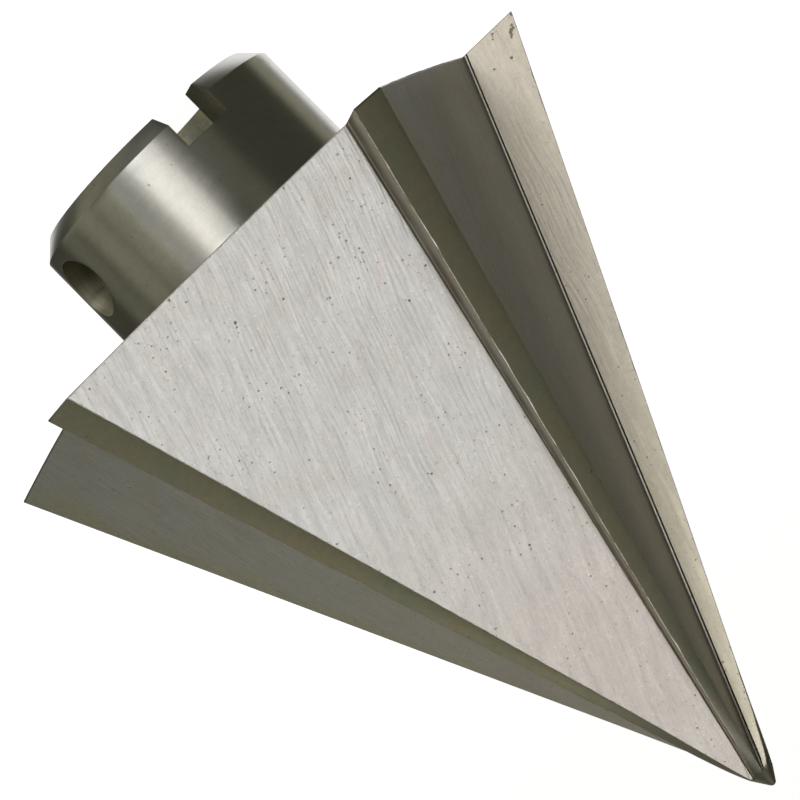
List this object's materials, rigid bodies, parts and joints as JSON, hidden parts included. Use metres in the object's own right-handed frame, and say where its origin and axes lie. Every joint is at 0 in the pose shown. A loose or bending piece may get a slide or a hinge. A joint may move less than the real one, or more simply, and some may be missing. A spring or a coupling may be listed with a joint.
{
  "type": "pipe reamer cone",
  "caption": "Fluted steel cone on a short slotted hub: turned inside the end of a cut pipe to scrape off the burr, driven by an arm pinned in its socket.",
  "frame": {"origin": "centre of the arm socket's flat floor, on the cone's axis", "axes": "+Z along the axis towards the tip, the drive slot along Y, the cross pin's hole along X"},
  "size_m": [0.0584, 0.0581, 0.075],
  "materials": {
    "machined_steel": "ground flutes, turned hub, oiled"
  },
  "bodies": {
    "root": {"reamer_cone": "machined_steel"}
  },
  "joints": []
}
